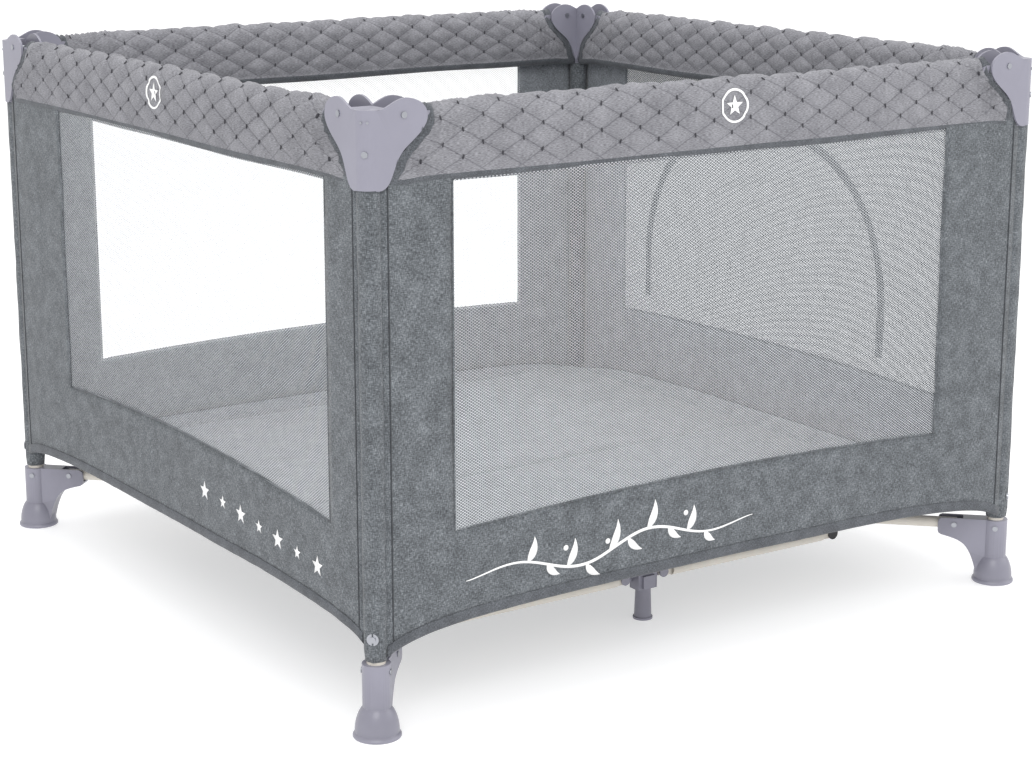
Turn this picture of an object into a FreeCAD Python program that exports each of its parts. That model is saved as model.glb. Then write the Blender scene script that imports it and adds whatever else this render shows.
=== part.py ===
# Square folding playpen. Millimetres, +Z up, origin on the floor under the middle of the pen.
# The front wall faces -Y and the left wall faces -X.
import FreeCAD, Part
import math
import os

SIZES = {
    # frame
    "half_span": 490.0,        # leg axis to the middle, along X and along Y
    "leg_radius": 11.0,
    "tube_wall": 1.2,
    "leg_low": 14.0,
    "leg_high": 704.0,
    "pin_radius": 2.5,
    "pin_hole": 2.6,
    "tongue_half": 2.5,        # half thickness of the flattened tube ends
    "tongue_radius": 6.5,
    # top rails
    "pivot_in": 70.0,          # leg axis to rail pivot
    "pivot_z": 700.0,
    "rail_radius": 8.0,
    "rail_z": 688.0,
    "rail_start": 84.0,
    "plain_end": 462.0,
    "tongue_end": 474.0,
    # latch
    "latch_start": 448.0,
    "latch_body_end": 484.0,
    "latch_half": 9.0,
    "latch_low": 677.0,
    "latch_high": 704.0,
    "slot_half": 3.0,
    "button_start": 466.0,
    "button_length": 9.0,
    "button_half": 5.0,
    "button_low": 671.0,
    "button_high": 688.0,
    "button_travel": 4.0,
    "play": 0.5,
    # corner covers
    "plate_out": 16.0,
    "plate_in": 13.0,
    "cover_bore": 11.2,
    "column_low": 626.0,
    "column_high": 712.0,
    "boss_radius": 7.0,
    "boss_face": 5.7,
    "ear_face": 11.8,          # outside of the ears that hold a rail's pivot, from the wall's middle
    "ear_start": 50.0,
    "ear_link_end": 59.0,
    "wing_rivet_in": 35.0,
    "wing_rivet_z": 705.0,
    "ridge_rivet_z": 665.0,
    "pip_z": 699.0,            # two small studs near the top of the ridge
    "pip_radius": 1.3,
    "pip_turn": 12.0,          # degrees round the column from the ridge to each stud
    "rivet_shank": 2.0,
    "rivet_hole": 2.1,
    "rivet_head": 3.6,
    "head_height": 1.3,
    # feet
    "foot_column": 16.5,
    "foot_high": 88.0,
    "foot_bore": 11.05,
    "bracket_half": 11.3,
    "nose_slot_half": 8.0,
    "nose_slot_low": 70.0,
    "nose_slot_start": 43.0,
    "nose_pivot": 55.0,
    "strut_z": 79.0,
    "foot_rivet_z": 78.0,
    "rosette_z": 120.0,
    "rosette_radius": 7.0,
    "sleeve_radius": 13.3,
    # base frame
    "base_radius": 7.5,
    "strut_run": 126.0,        # nose pivot to knuckle pivot, along X and along Y
    "end_gap": 14.0,           # middle foot's pivot to the start of a bar's round part
    "bar_gap": 18.0,           # knuckle's pivot to the end of a bar's round part
    "strut_gap": 36.0,         # knuckle's pivot to the end of a strut's round part
    "flat_lap": 8.0,           # how far a flattened end reaches into the round part
    "eye_half": 6.0,           # half height of a flattened end
    "knuckle_drop": 21.0,      # strut pivot down to bar pivot
    "knuckle_out": 18.0,       # strut pivot out to bar pivot
    "cheek_face": 15.0,        # strut pivot out to the cheek that holds the bar
    "cheek_thick": 4.4,
    "pin_end": 4.5,
    "pin_cap": 1.8,
    "post_low": 13.0,
    "post_mid": 11.5,
    "post_top": 10.0,
    "post_height": 46.0,
    "post_rim": 3.0,
    "head_half": 15.0,
    "head_rise": 22.0,
    "tab_half": 9.0,
    "tab_rise": 15.0,
    "arm_face": 3.0,           # middle foot's centre in to the arm that holds the bars
    "arm_thick": 5.0,
    # soft parts
    "panel_offset": 499.0,
    "panel_thick": 2.0,
    "panel_half": 476.0,
    "panel_high": 618.0,
    "hem_corner": 104.0,
    "hem_middle": 120.0,
    "cover_start": 84.0,
    "cloth_half": 474.0,
    "cloth_edge": 466.0,
    "cloth_z": 112.0,
    "cloth_thick": 2.0,
    "mat_half": 464.0,
    "mat_z": 114.5,
    "mat_thick": 6.0,
    "seam_gap": 0.5,
}
CORNERS = {"front_left": (-1, -1), "front_right": (1, -1), "back_right": (1, 1), "back_left": (-1, 1)}
WING_OUTLINE = (
    (0, 711), (15, 715), (33, 722.5), (52, 720), (63, 711), (65, 700), (58.5, 688),
    (44, 675), (32, 664), (25, 652), (20, 640), (13, 629), (0, 625.5),
)
ARCH_OUTLINE = ((72, 64.6), (57, 60.5), (42, 53), (33, 41), (27, 26), (22, 8))
DOME_OUTLINE = ((25.6, 6), (25.4, 13), (23.6, 22), (20.6, 30), (16.5, 36))
# knuckle blocks about the strut's pivot: offsets in along X, in along Y and up
KNUCKLE_BLOCKS = (
    ((1.5, -9, -13), (9.5, -3.3, 8)),
    ((9, -9, -10), (32, 20, 8)),
    ((1.5, -15, -13), (9, -8.5, -8)),
    ((0, -15, -26), (9, -10.6, -12)),
)
COVER_OUTER = {"radius": 16.0, "z": 696.0, "foot_half": 7.5, "foot_z": 622.0}
COVER_INNER = {"radius": 13.2, "z": 697.2, "side_z": 690.0, "foot_half": 3.0, "foot_z": 634.0}

doc = FreeCAD.newDocument("playpen")
sheet = doc.addObject("Spreadsheet::Sheet", "Sizes")
for row, (alias, size) in enumerate(SIZES.items(), start=1):
    sheet.set(f"A{row}", alias)
    sheet.set(f"B{row}", str(size))
    sheet.setAlias(f"B{row}", alias)
doc.recompute()

X_AXIS = FreeCAD.Vector(1, 0, 0)
Y_AXIS = FreeCAD.Vector(0, 1, 0)
Z_AXIS = FreeCAD.Vector(0, 0, 1)
TURNS = {
    "x": FreeCAD.Rotation(Y_AXIS, 90),
    "y": FreeCAD.Rotation(X_AXIS, -90),
    "z": FreeCAD.Rotation(),
}


def bind(thing, path, formula):
    """Tie one property to the sheet. A formula's words are sizes in the sheet."""
    words = str(formula).replace("(", " ( ").replace(")", " ) ").split()
    thing.setExpression(path, " ".join(f"Sizes.{w}" if w in SIZES else w for w in words))


def at(thing, place):
    for axis, formula in zip("xyz", place):
        bind(thing, f".Placement.Base.{axis}", formula)


def block(low, high):
    """A box between two corners, each a triple of formulas."""
    thing = doc.addObject("Part::Box", "Block")
    at(thing, low)
    for prop, a, b in zip(("Length", "Width", "Height"), low, high):
        bind(thing, prop, f"( {b} ) - ( {a} )")
    return thing


def rod(start, length, radius, along="z"):
    """A cylinder from start along an axis."""
    thing = doc.addObject("Part::Cylinder", "Rod")
    thing.Placement = FreeCAD.Placement(FreeCAD.Vector(), TURNS[along])
    at(thing, start)
    bind(thing, "Radius", radius)
    bind(thing, "Height", length)
    return thing


def taper(start, length, low_radius, high_radius):
    thing = doc.addObject("Part::Cone", "Taper")
    at(thing, start)
    bind(thing, "Radius1", low_radius)
    bind(thing, "Radius2", high_radius)
    bind(thing, "Height", length)
    return thing


def join(*things):
    thing = doc.addObject("Part::MultiFuse", "Join")
    thing.Shapes = list(things)
    thing.Refine = True
    return thing


def cut(base, *tools):
    thing = doc.addObject("Part::Cut", "Cut")
    thing.Base = base
    thing.Tool = tools[0] if len(tools) == 1 else join(*tools)
    return thing


def group(*things):
    """Separate solids kept in one sub-part."""
    thing = doc.addObject("Part::Compound", "Group")
    thing.Links = list(things)
    return thing


def face_of(edges):
    return Part.Face(Part.Wire(edges))


def line(a, b):
    return Part.LineSegment(a, b).toShape()


def curve(points):
    spline = Part.BSplineCurve()
    spline.interpolate(list(points))
    return spline.toShape()


def sweep(face, direction, length, both=False):
    """A flat face pushed out along a direction."""
    outline = doc.addObject("Part::Feature", "Outline")
    outline.Shape = face
    thing = doc.addObject("Part::Extrusion", "Sweep")
    thing.Base = outline
    thing.DirMode = "Custom"
    thing.Dir = direction
    thing.Solid = True
    thing.Symmetric = both
    bind(thing, "LengthFwd", length)
    return thing


def spin(face):
    outline = doc.addObject("Part::Feature", "Outline")
    outline.Shape = face
    thing = doc.addObject("Part::Revolution", "Spin")
    thing.Source = outline
    thing.Axis = Z_AXIS
    thing.Angle = 360
    thing.Solid = True
    return thing


def move(thing, place, angle):
    """Turn a part built about the origin by an angle about Z and set it down at place."""
    holder = group(thing)
    holder.Placement = FreeCAD.Placement(FreeCAD.Vector(), FreeCAD.Rotation(Z_AXIS, angle))
    at(holder, place)
    return holder


def diagonal(thing, angle):
    """Turn a part built along +X onto a diagonal."""
    return move(thing, ("0", "0", "0"), angle)


finished = {}


def keep(name, thing):
    thing.Label = name
    finished[name] = thing


def leg_place(signs):
    return (f"{signs[0]} * half_span", f"{signs[1]} * half_span", "0")


# ---------------------------------------------------------------- legs, built about the leg axis
def leg_tube():
    outer = rod(("0", "0", "leg_low"), "leg_high - leg_low", "leg_radius")
    bore = rod(("0", "0", "leg_low"), "leg_high - leg_low", "leg_radius - tube_wall")
    return cut(outer, bore)


def wing(direction, sideways):
    """Both plates of one wing: the outline pushed out to each side of the wall's middle."""
    points = [direction * s + Z_AXIS * z for s, z in WING_OUTLINE]
    face = face_of([curve(points), line(points[-1], points[0])])
    return sweep(face, sideways, "2 * plate_out", both=True)


def spot(along, across, s, z):
    """A place on a wing: across its plates, s out from the leg, z up."""
    return (s, across, z) if along == "y" else (across, s, z)


def corner_cover():
    body = join(
        wing(X_AXIS, Y_AXIS),
        wing(Y_AXIS, X_AXIS),
        rod(("0", "0", "column_low"), "column_high - column_low", "plate_out"),
    )
    slot_start = "plate_in - 1"
    reach = "2 * pivot_in"
    slots = [
        block((slot_start, "-1 * plate_in", "0"), (reach, "plate_in", "2 * pivot_z")),
        block(("-1 * plate_in", slot_start, "0"), ("plate_in", reach, "2 * pivot_z")),
        rod(("0", "0", "0"), "leg_high + 0.5", "cover_bore"),
    ]
    shell = cut(body, *slots)
    bosses, holes = [], []
    for along in ("y", "x"):
        for low, high, link in (
            ("-1 * ear_face", "-1 * boss_face", "-1 * plate_in - 1"),
            ("boss_face", "ear_face", "ear_face - 1"),
        ):
            start = spot(along, low, "pivot_in", "pivot_z")
            bosses.append(rod(start, "ear_face - boss_face", "boss_radius", along))
            bosses.append(
                block(
                    spot(along, low, "ear_start", "pivot_z - boss_radius"),
                    spot(along, high, "pivot_in", "pivot_z + boss_radius"),
                )
            )
            bosses.append(
                block(
                    spot(along, link, "ear_start", "pivot_z - boss_radius"),
                    spot(along, f"( {link} ) + plate_in - ear_face + 2", "ear_link_end", "pivot_z + boss_radius"),
                )
            )
        start = spot(along, "-1 * plate_in", "pivot_in", "pivot_z")
        holes.append(rod(start, "2 * plate_in", "pin_hole", along))
        start = spot(along, "-2 * plate_out", "wing_rivet_in", "wing_rivet_z")
        holes.append(rod(start, "4 * plate_out", "rivet_hole", along))
    ridge_hole = diagonal(rod(("0", "0", "ridge_rivet_z"), "2 * plate_out", "rivet_hole", "x"), 225)
    web = block(
        ("plate_in - 3.5", "plate_in - 3.5", "column_low + 20"),
        ("plate_in + 1.5", "plate_in + 1.5", "column_high - 14"),
    )
    return cut(join(shell, web, *bosses), *holes, ridge_hole)


def foot():
    """A flared foot with a bracket that reaches in along the diagonal, here along +X."""
    rim = [(0, 0), (27.2, 0), (28, 1), (28, 3), (27, 4.6)]
    points = [FreeCAD.Vector(r, 0, z) for r, z in rim]
    dome = [FreeCAD.Vector(r, 0, z) for r, z in DOME_OUTLINE]
    top = FreeCAD.Vector(0, 0, dome[-1].z)
    edges = [line(a, b) for a, b in zip(points, points[1:] + dome[:1])]
    edges += [curve(dome), line(dome[-1], top), line(top, points[0])]
    base = spin(face_of(edges))
    column = rod(("0", "0", "8"), "foot_high - 8", "foot_column")
    arch = [FreeCAD.Vector(s, 0, z) for s, z in ARCH_OUTLINE]
    nose = [
        FreeCAD.Vector(0, 0, arch[-1].z), FreeCAD.Vector(0, 0, SIZES["foot_high"]),
        FreeCAD.Vector(71, 0, SIZES["foot_high"]), FreeCAD.Vector(75, 0, 86),
        FreeCAD.Vector(76.5, 0, 82), FreeCAD.Vector(76.5, 0, 70), FreeCAD.Vector(75, 0, 66.4),
        arch[0],
    ]
    edges = [line(a, b) for a, b in zip(nose, nose[1:])] + [curve(arch), line(arch[-1], nose[0])]
    bracket = sweep(face_of(edges), Y_AXIS, "2 * bracket_half", both=True)
    slot = block(
        ("nose_slot_start", "-1 * nose_slot_half", "nose_slot_low"),
        ("2 * nose_pivot", "nose_slot_half", "2 * foot_high"),
    )
    bore = rod(("0", "0", "leg_low - 1"), "foot_high", "foot_bore")
    pin = rod(("nose_pivot", "-2 * bracket_half", "strut_z"), "4 * bracket_half", "pin_hole", "y")
    return cut(join(base, column, bracket), slot, bore, pin)


def rivet(across, place, shank, head, along):
    """A shank with a flat head at each end. across is half the grip."""
    return join(
        rod(spot(along, f"-1 * ( {across} )", *place), f"2 * ( {across} )", shank, along),
        rod(spot(along, f"-1 * ( {across} ) - head_height", *place), "head_height", head, along),
        rod(spot(along, across, *place), "head_height", head, along),
    )


def rivets():
    """All fixings of one leg."""
    wing_place = ("wing_rivet_in", "wing_rivet_z")
    pieces = [rivet("plate_out", wing_place, "rivet_shank", "rivet_head", along) for along in "xy"]
    for along in "xy":
        start = spot(along, "-1 * ear_face", "pivot_in", "pivot_z")
        pieces.append(rod(start, "2 * ear_face", "pin_radius", along))
    ridge = join(
        rod(("leg_radius + 0.3", "0", "ridge_rivet_z"), "plate_out - leg_radius", "rivet_shank", "x"),
        rod(("plate_out", "0", "ridge_rivet_z"), "head_height", "rivet_head", "x"),
    )
    for turn in (225 - SIZES["pip_turn"], 225 + SIZES["pip_turn"]):
        pip = rod(("plate_out", "0", "pip_z"), "head_height", "pip_radius", "x")
        pieces.append(diagonal(pip, turn))
    rosette = join(
        rod(("leg_radius + 0.1", "0", "rosette_z"), "sleeve_radius - leg_radius", "rivet_shank", "x"),
        rod(("sleeve_radius", "0", "rosette_z"), "head_height", "rosette_radius", "x"),
        rod(("sleeve_radius", "0", "rosette_z"), "2 * head_height", "rivet_head", "x"),
    )
    pieces += [diagonal(ridge, 225), diagonal(rosette, 225)]
    pieces.append(
        diagonal(rivet("bracket_half", ("nose_pivot", "strut_z"), "pin_radius", "rivet_head", "y"), 45)
    )
    for side in ("foot_column", "-1 * foot_column - head_height"):
        head = rod(("0", side, "foot_rivet_z"), "head_height", "rivet_head", "y")
        pieces.append(diagonal(head, 45))
    return group(*pieces)


for number, (corner, signs) in enumerate(CORNERS.items()):
    quarter = 90 * number
    keep(f"leg_tube_{corner}", move(leg_tube(), leg_place(signs), quarter))
    keep(f"corner_cover_{corner}", move(corner_cover(), leg_place(signs), quarter))
    keep(f"foot_{corner}", move(foot(), leg_place(signs), quarter + 45))
    keep(f"rivets_{corner}", move(rivets(), leg_place(signs), quarter))


# ---------------------------------------------------------------- top rails, built along +X from the leg axis
def rail_neck(low, high):
    return block(
        (low, "-1 * tongue_half", "rail_z - 4"), (high, "tongue_half", "pivot_z")
    )


def half_rail(with_tongue):
    end = "tongue_end" if with_tongue else "plain_end"
    tube = cut(
        rod(("rail_start", "0", "rail_z"), f"{end} - rail_start", "rail_radius", "x"),
        rod(("rail_start", "0", "rail_z"), f"{end} - rail_start", "rail_radius - tube_wall", "x"),
    )
    eye = "tongue_half"
    parts = [
        tube,
        rail_neck("pivot_in", "rail_start + 10"),
        rod(("pivot_in", f"-1 * {eye}", "pivot_z"), f"2 * {eye}", "tongue_radius", "y"),
    ]
    holes = [rod(("pivot_in", "-1 * rail_radius", "pivot_z"), "2 * rail_radius", "pin_hole", "y")]
    if with_tongue:
        parts.append(rail_neck("tongue_end - 10", "half_span"))
        parts.append(rod(("half_span", f"-1 * {eye}", "pivot_z"), f"2 * {eye}", "tongue_radius", "y"))
        holes.append(
            rod(("half_span", "-1 * rail_radius", "pivot_z"), "2 * rail_radius", "pin_hole", "y")
        )
    return cut(join(*parts), *holes)


def latch():
    """Housing on one half rail. Its forked end holds the other half rail's tongue."""
    body = join(
        block(
            ("latch_start", "-1 * latch_half", "latch_low"),
            ("latch_body_end", "latch_half", "latch_high"),
        ),
        block(
            ("latch_body_end - 1", "-1 * latch_half", "latch_low + 3"),
            ("half_span", "latch_half", "pivot_z + 4"),
        ),
        rod(("half_span", "-1 * latch_half", "pivot_z"), "2 * latch_half", "tongue_radius", "y"),
    )
    hollow = [
        rod(
            ("latch_start - 1", "0", "rail_z"),
            "plain_end - latch_start + 1.1",
            "rail_radius + 0.05",
            "x",
        ),
        block(
            ("half_span - 9", "-1 * slot_half", "latch_low - 1"),
            ("half_span + 9", "slot_half", "pivot_z + 9"),
        ),
        block(
            ("latch_start + 18", "-1 * slot_half", "pivot_z - 1"),
            ("half_span", "slot_half", "pivot_z + 9"),
        ),
        block(
            ("button_start - play", "-1 * button_half - play", "latch_low - 1"),
            (
                "button_start + button_length + play",
                "button_half + play",
                "button_high + button_travel + play",
            ),
        ),
    ]
    pin = rod(("half_span", "-1 * latch_half", "pivot_z"), "2 * latch_half", "pin_radius", "y")
    return join(cut(body, *hollow), pin)


def button():
    return block(
        ("button_start", "-1 * button_half", "button_low"),
        ("button_start + button_length", "button_half", "button_high"),
    )


SIDES = {
    "front": ("front_left", "front_right", 0),
    "left": ("front_left", "back_left", 90),
    "right": ("front_right", "back_right", 90),
    "back": ("back_left", "back_right", 0),
}
for side, (near, far, angle) in SIDES.items():
    keep(f"rail_{side}_a", move(half_rail(False), leg_place(CORNERS[near]), angle))
    keep(f"rail_{side}_b", move(half_rail(True), leg_place(CORNERS[far]), angle + 180))
    keep(f"latch_{side}", move(latch(), leg_place(CORNERS[near]), angle))
    keep(f"button_{side}", move(button(), leg_place(CORNERS[near]), angle))


# ---------------------------------------------------------------- base frame
DIAGONAL_RUN = f"nose_pivot + {math.sqrt(2)} * strut_run"
KNUCKLE = f"half_span - {math.sqrt(0.5)} * nose_pivot - strut_run"
MIDDLE_ARM = f"pivot_in - {math.sqrt(0.5)} * nose_pivot"
BAR_LINE = f"( {KNUCKLE} ) + knuckle_out"
BAR_Z = "strut_z - knuckle_drop"


def strut():
    """Tube from the foot's nose to the knuckle, built along +X from the leg axis."""
    start = "nose_pivot - 4"
    stop = f"{DIAGONAL_RUN} - strut_gap"
    length = f"( {stop} ) - ( {start} )"
    tube = cut(
        rod((start, "0", "strut_z"), length, "base_radius", "x"),
        rod((start, "0", "strut_z"), length, "base_radius - tube_wall", "x"),
    )
    flat = block(
        (f"{stop} - flat_lap", "-1 * tongue_half", "strut_z - eye_half"),
        (DIAGONAL_RUN, "tongue_half", "strut_z + eye_half"),
    )
    eye = rod((DIAGONAL_RUN, "-1 * tongue_half", "strut_z"), "2 * tongue_half", "tongue_radius", "y")
    holes = [
        rod((s, "-2 * base_radius", "strut_z"), "4 * base_radius", "pin_hole", "y")
        for s in ("nose_pivot", DIAGONAL_RUN)
    ]
    return cut(join(tube, flat, eye), *holes)


def inward(sign, low, high):
    """A box at the knuckle: offsets in along X, in along Y and up from the strut's pivot."""
    xs = sorted((sign * (-offset) for offset in (low[0], high[0])))
    corner_x, corner_y = f"{sign} * ( {KNUCKLE} )", f"-1 * ( {KNUCKLE} )"
    return block(
        (f"{corner_x} + {xs[0]}", f"{corner_y} + {low[1]}", f"strut_z + {low[2]}"),
        (f"{corner_x} + {xs[1]}", f"{corner_y} + {high[1]}", f"strut_z + {high[2]}"),
    )


def knuckle(sign):
    """Two-way joint between a strut and a bar, below the floor. sign is -1 on the left."""
    x = f"{sign} * ( {KNUCKLE} )"
    y = f"-1 * ( {KNUCKLE} )"
    blocks = [inward(sign, low, high) for low, high in KNUCKLE_BLOCKS]
    strut_pin = join(
        rod(("-1 * pin_end - 0.5", "0", "0"), "2 * pin_end + 3", "pin_radius", "x"),
        rod(("-1 * pin_end - 0.5", "0", "0"), "pin_cap", "boss_radius - 1.5", "x"),
    )
    turned = move(strut_pin, (x, y, "strut_z"), -135 if sign > 0 else -45)
    pivot_y = f"{y} - knuckle_out"
    cheek = rod((x, f"{y} - cheek_face", BAR_Z), "cheek_thick", "tongue_radius", "y")
    bar_pin = rod((x, f"{pivot_y} - pin_end", BAR_Z), "2 * pin_end + 1", "pin_radius", "y")
    bar_head = rod((x, f"{pivot_y} - pin_end - 0.3", BAR_Z), "pin_cap", "boss_radius + 1", "y")
    return join(*blocks, turned, cheek, bar_pin, bar_head)


def mirrored(sign, low, high):
    """Low and high places along X for a length that lies on the right (1) or on the left (-1)."""
    return (low, high) if sign > 0 else (f"-1 * ( {high} )", f"-1 * ( {low} )")


def bar(sign):
    """Tube along X from the knuckle to the middle foot."""
    y = f"-1 * ( {BAR_LINE} )"
    inner, outer = f"{MIDDLE_ARM} + end_gap", f"{KNUCKLE} - bar_gap"
    first, last = mirrored(sign, inner, outer)
    length = f"( {last} ) - ( {first} )"
    tube = cut(
        rod((first, y, BAR_Z), length, "base_radius", "x"),
        rod((first, y, BAR_Z), length, "base_radius - tube_wall", "x"),
    )
    parts, holes = [tube], []
    flats = (
        (MIDDLE_ARM, mirrored(sign, MIDDLE_ARM, f"{inner} + flat_lap")),
        (KNUCKLE, mirrored(sign, f"{outer} - flat_lap", KNUCKLE)),
    )
    for pivot, (low, high) in flats:
        x = f"{sign} * ( {pivot} )"
        flat_low = (low, f"{y} - tongue_half", f"{BAR_Z} - eye_half")
        flat_high = (high, f"{y} + tongue_half", f"{BAR_Z} + eye_half")
        parts.append(block(flat_low, flat_high))
        parts.append(rod((x, f"{y} - tongue_half", BAR_Z), "2 * tongue_half", "tongue_radius", "y"))
        holes.append(rod((x, f"{y} - 2 * base_radius", BAR_Z), "4 * base_radius", "pin_hole", "y"))
    return cut(join(*parts), *holes)


def middle_foot():
    """Post with a wedge-shaped tab and a bracket that carries both bars."""
    y = f"-1 * ( {BAR_LINE} )"
    pieces = [
        rod(("0", y, "0"), "post_rim", "post_low"),
        taper(("0", y, "post_rim"), "post_height - post_rim", "post_mid", "post_top"),
        block(
            ("-1 * head_half", f"{y} - post_top", "post_height - 4"),
            ("head_half", f"{y} + post_top - 1", "post_height + head_rise"),
        ),
        block(
            ("-1 * tab_half", f"{y} - post_top - 4", "post_height - 2"),
            ("tab_half", f"{y} - post_top + 1", "post_height + tab_rise"),
        ),
        block(
            (f"-1 * ( {MIDDLE_ARM} )", f"{y} + arm_face", f"{BAR_Z} - eye_half"),
            (MIDDLE_ARM, f"{y} + arm_face + arm_thick", f"{BAR_Z} + eye_half"),
        ),
    ]
    for sign in (-1, 1):
        x = f"{sign} * ( {MIDDLE_ARM} )"
        pieces.append(rod((x, f"{y} + arm_face", BAR_Z), "arm_thick", "tongue_radius", "y"))
        pieces.append(rod((x, f"{y} - pin_end", BAR_Z), "2 * pin_end", "pin_radius", "y"))
        pieces.append(rod((x, f"{y} - pin_end - 0.3", BAR_Z), "pin_cap", "boss_radius", "y"))
    return join(*pieces)


for number, (corner, signs) in enumerate(CORNERS.items()):
    keep(f"strut_{corner}", move(strut(), leg_place(signs), 90 * number + 45))
    # the back pair is the front pair turned half round, so left and right change places
    turn = 0 if signs[1] < 0 else 180
    hand = signs[0] if signs[1] < 0 else -signs[0]
    keep(f"knuckle_{corner}", move(knuckle(hand), ("0", "0", "0"), turn))
    keep(f"bar_{corner}", move(bar(hand), ("0", "0", "0"), turn))
keep("middle_foot_front", move(middle_foot(), ("0", "0", "0"), 0))
keep("middle_foot_back", move(middle_foot(), ("0", "0", "0"), 180))


# ---------------------------------------------------------------- soft parts, built for the front side
def side_panel():
    half, top = SIZES["panel_half"], SIZES["panel_high"]
    corner, middle = SIZES["hem_corner"], SIZES["hem_middle"]
    y = -SIZES["panel_offset"] - SIZES["panel_thick"]
    ends = [FreeCAD.Vector(-half, y, corner), FreeCAD.Vector(half, y, corner)]
    tops = [FreeCAD.Vector(half, y, top), FreeCAD.Vector(-half, y, top)]
    hem = Part.Arc(ends[0], FreeCAD.Vector(0, y, middle), ends[1]).toShape()
    edges = [hem, line(ends[1], tops[0]), line(tops[0], tops[1]), line(tops[1], ends[0])]
    return sweep(face_of(edges), Y_AXIS, "panel_thick")


def rail_cover():
    """Padded loop round the rail, with the rail's own room left free inside."""
    x = SIZES["cover_start"] - SIZES["half_span"]
    y = -SIZES["half_span"]

    def loop(radius, z, foot_half, foot_z, side_z):
        left, right = (FreeCAD.Vector(x, y + side * radius, z) for side in (-1, 1))
        crown = Part.Arc(left, FreeCAD.Vector(x, y, z + radius), right).toShape()
        chain = [right, FreeCAD.Vector(x, y + radius, side_z)] if side_z < z else [right]
        chain += [FreeCAD.Vector(x, y + foot_half, foot_z), FreeCAD.Vector(x, y - foot_half, foot_z)]
        chain += [FreeCAD.Vector(x, y - radius, side_z), left] if side_z < z else [left]
        return face_of([crown] + [line(a, b) for a, b in zip(chain, chain[1:])])
    outer = loop(side_z=COVER_OUTER["z"], **COVER_OUTER)
    inner = loop(**COVER_INNER)
    length = "2 * ( half_span - cover_start )"
    return cut(sweep(outer, X_AXIS, length), sweep(inner, X_AXIS, length))


def floor_sheet(half, edge, z, thick):
    return block((f"-1 * {half}", f"-1 * {edge}", z), (half, "-1 * seam_gap", f"{z} + {thick}"))


for side, turn in (("front", 0), ("right", 90), ("back", 180), ("left", 270)):
    keep(f"side_panel_{side}", move(side_panel(), ("0", "0", "0"), turn))
    keep(f"rail_cover_{side}", move(rail_cover(), ("0", "0", "0"), turn))
for side, turn in (("front", 0), ("back", 180)):
    cloth = floor_sheet("cloth_half", "cloth_edge", "cloth_z", "cloth_thick")
    mat = floor_sheet("mat_half", "cloth_edge", "mat_z", "mat_thick")
    keep(f"floor_cloth_{side}", move(cloth, ("0", "0", "0"), turn))
    keep(f"floor_mat_{side}", move(mat, ("0", "0", "0"), turn))

doc.recompute()
os.makedirs("parts", exist_ok=True)
for thing in doc.Objects:
    if "Invalid" in thing.State or "Error" in thing.State:
        raise RuntimeError(f"{thing.Label} did not build: {thing.State}")
for name, thing in finished.items():
    if thing.Shape.isNull() or not thing.Shape.isValid() or not thing.Shape.Solids:
        raise RuntimeError(f"{name} has no valid shape")
for name, thing in finished.items():
    thing.Shape.exportStep(f"parts/{name}.step")
print(len(finished), "sub-parts")
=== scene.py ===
import math
import random

import bpy
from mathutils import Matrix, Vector, noise


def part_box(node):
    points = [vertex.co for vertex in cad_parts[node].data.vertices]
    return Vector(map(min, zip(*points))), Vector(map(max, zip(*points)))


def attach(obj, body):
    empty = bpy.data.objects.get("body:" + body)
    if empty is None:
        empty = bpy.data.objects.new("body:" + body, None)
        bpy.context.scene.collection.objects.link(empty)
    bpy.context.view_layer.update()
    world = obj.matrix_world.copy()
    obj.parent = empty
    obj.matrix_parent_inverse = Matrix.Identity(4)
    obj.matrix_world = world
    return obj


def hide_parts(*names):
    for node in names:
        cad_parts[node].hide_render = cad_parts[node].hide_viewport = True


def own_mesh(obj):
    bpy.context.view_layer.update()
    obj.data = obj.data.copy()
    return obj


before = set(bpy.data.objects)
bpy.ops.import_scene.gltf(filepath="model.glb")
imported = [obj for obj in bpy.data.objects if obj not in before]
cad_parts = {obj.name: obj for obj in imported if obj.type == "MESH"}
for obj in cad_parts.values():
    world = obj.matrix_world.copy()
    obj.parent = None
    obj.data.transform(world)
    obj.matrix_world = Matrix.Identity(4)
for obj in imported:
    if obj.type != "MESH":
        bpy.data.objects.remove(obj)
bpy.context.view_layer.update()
draw = random.Random(7)

# ---------------------------------------------------------------- the frame's sizes, in metres
CORNERS = {"front_left": (-1, -1), "front_right": (1, -1), "back_right": (1, 1), "back_left": (-1, 1)}


def middle(node):
    low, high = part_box(node)
    return Vector([(a + b) / 2 for a, b in zip(low, high)])


HALF = middle("leg_tube_front_right").x
SPAN = 2 * HALF
LEG_RADIUS = (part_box("leg_tube_front_right")[1][0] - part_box("leg_tube_front_right")[0][0]) / 2
WALL_OUT = -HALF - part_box("side_panel_front")[0][1]
FOOT_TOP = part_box("foot_front_left")[1][2]
CORNER_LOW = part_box("corner_cover_front_left")[0][2]
FLOOR_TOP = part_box("floor_cloth_front")[1][2]
FLOOR_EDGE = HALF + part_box("floor_cloth_front")[0][1]   # from the leg line in to the floor
DIAMOND = (0.054, 0.030)   # width and height of a quilted diamond
FOLDED = 0.2324            # how much of the span is left when the frame is folded


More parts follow.
